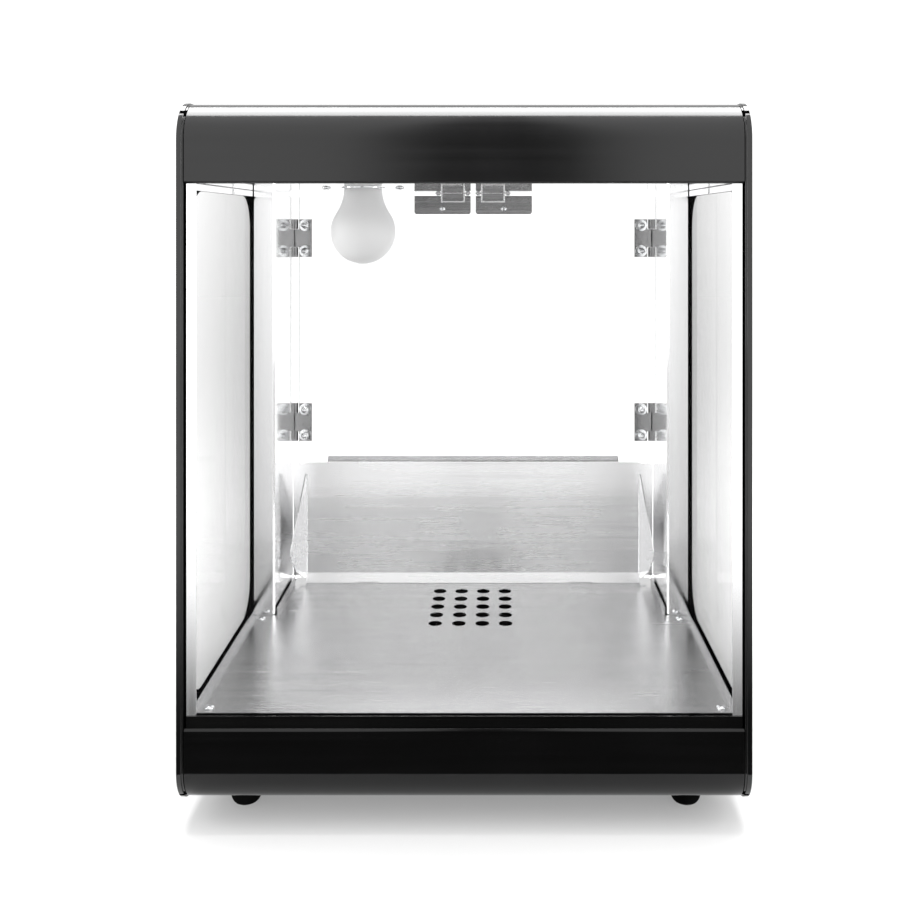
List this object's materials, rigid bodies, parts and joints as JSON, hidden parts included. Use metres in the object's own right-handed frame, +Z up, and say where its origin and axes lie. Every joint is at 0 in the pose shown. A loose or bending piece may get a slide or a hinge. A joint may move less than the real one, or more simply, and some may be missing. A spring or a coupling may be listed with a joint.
{
  "type": "chip warmer",
  "caption": "Countertop glass cabinet that keeps chips warm: curved black hood and base, side windows, rear doors, lamp, crumb guard and warm-air floor.",
  "frame": {"origin": "middle of the footprint, on the surface the feet stand on", "axes": "+X to the right seen from the front, +Y from the front to the rear doors, +Z up"},
  "size_m": [0.46, 0.376, 0.588],
  "materials": {
    "black_gloss": "gloss",
    "side_pane": "clear",
    "front_pane": "clear",
    "door_pane": "clear",
    "polished_steel": "polished",
    "brushed_steel": "brushed",
    "zinc_steel": "zinc plated",
    "galvanised": "matte",
    "frosted_bulb": "frosted",
    "lamp_cap": "satin",
    "ceramic": "gloss",
    "white_plastic": "matte",
    "black_rubber": "matte",
    "black_plastic": "satin",
    "matte_black_plastic": "matte",
    "catch_magnet": "matte",
    "dark_element": "matte"
  },
  "bodies": {
    "cabinet": {"left_side_frame": "black_gloss", "right_side_frame": "black_gloss", "left_side_glass": "side_pane", "right_side_glass": "side_pane", "front_glass": "front_pane", "left_front_post": "polished_steel", "right_front_post": "polished_steel", "top_visor": "black_gloss", "top_cover": "black_gloss", "rear_header": "black_gloss", "cover_screws": "zinc_steel", "soffit": "polished_steel", "lamp_bracket": "galvanised", "lamp_holder": "ceramic", "lamp_ring": "zinc_steel", "bulb": "frosted_bulb", "bulb_cap": "lamp_cap", "soffit_screws": "zinc_steel", "front_fascia": "black_gloss", "front_sill": "black_gloss", "tray": "brushed_steel", "tray_screws": "zinc_steel", "base_pan": "galvanised", "rear_base_panel": "black_gloss", "feet": "black_rubber", "foot_screws": "zinc_steel", "left_column": "brushed_steel", "right_column": "brushed_steel", "hinge_frame_leaves": "brushed_steel", "hinge_pins": "zinc_steel", "hinge_screws": "zinc_steel", "left_magnet_catch": "catch_magnet", "right_magnet_catch": "catch_magnet", "guard": "polished_steel", "air_duct": "galvanised", "heating_element": "dark_element", "fan_housing": "matte_black_plastic", "thermostat": "white_plastic", "switch_bezels": "matte_black_plastic", "power_inlet": "matte_black_plastic", "terminal_block": "white_plastic"},
    "left_door_body": {"left_door": "door_pane", "left_door_leaves": "brushed_steel", "left_door_washers": "zinc_steel", "left_door_nuts": "zinc_steel", "left_door_bolts": "zinc_steel", "left_catch_plate": "brushed_steel", "left_catch_screw": "zinc_steel"},
    "right_door_body": {"right_door": "door_pane", "right_door_leaves": "brushed_steel", "right_door_washers": "zinc_steel", "right_door_nuts": "zinc_steel", "right_door_bolts": "zinc_steel", "right_catch_plate": "brushed_steel", "right_catch_screw": "zinc_steel"},
    "rotor": {"fan_rotor": "matte_black_plastic"},
    "knob": {"thermostat_knob": "black_plastic", "thermostat_spindle": "zinc_steel"},
    "heat_switch": {"heat_rocker": "black_plastic"},
    "light_switch": {"light_rocker": "black_plastic"}
  },
  "joints": [
    {"name": "left_door_hinge", "type": "hinge", "parent": "cabinet", "child": "left_door_body", "pos_m": [-0.1984, 0.1606, 0.369], "axis": [0, 0, 1], "range_deg": [0, 110]},
    {"name": "right_door_hinge", "type": "hinge", "parent": "cabinet", "child": "right_door_body", "pos_m": [0.1984, 0.1606, 0.369], "axis": [0, 0, -1], "range_deg": [0, 110]},
    {"name": "fan_spin", "type": "hinge", "parent": "cabinet", "child": "rotor", "pos_m": [0, 0.076, 0.035], "axis": [0, 0, 1], "continuous": true},
    {"name": "thermostat_turn", "type": "hinge", "parent": "cabinet", "child": "knob", "pos_m": [-0.06, 0.172, 0.055], "axis": [0, -1, 0], "range_deg": [0, 270]},
    {"name": "heat_switch_rock", "type": "hinge", "parent": "cabinet", "child": "heat_switch", "pos_m": [0.01, 0.1684, 0.055], "axis": [-1, 0, 0], "range_deg": [0, 16]},
    {"name": "light_switch_rock", "type": "hinge", "parent": "cabinet", "child": "light_switch", "pos_m": [0.052, 0.1684, 0.055], "axis": [-1, 0, 0], "range_deg": [0, 16]}
  ]
}
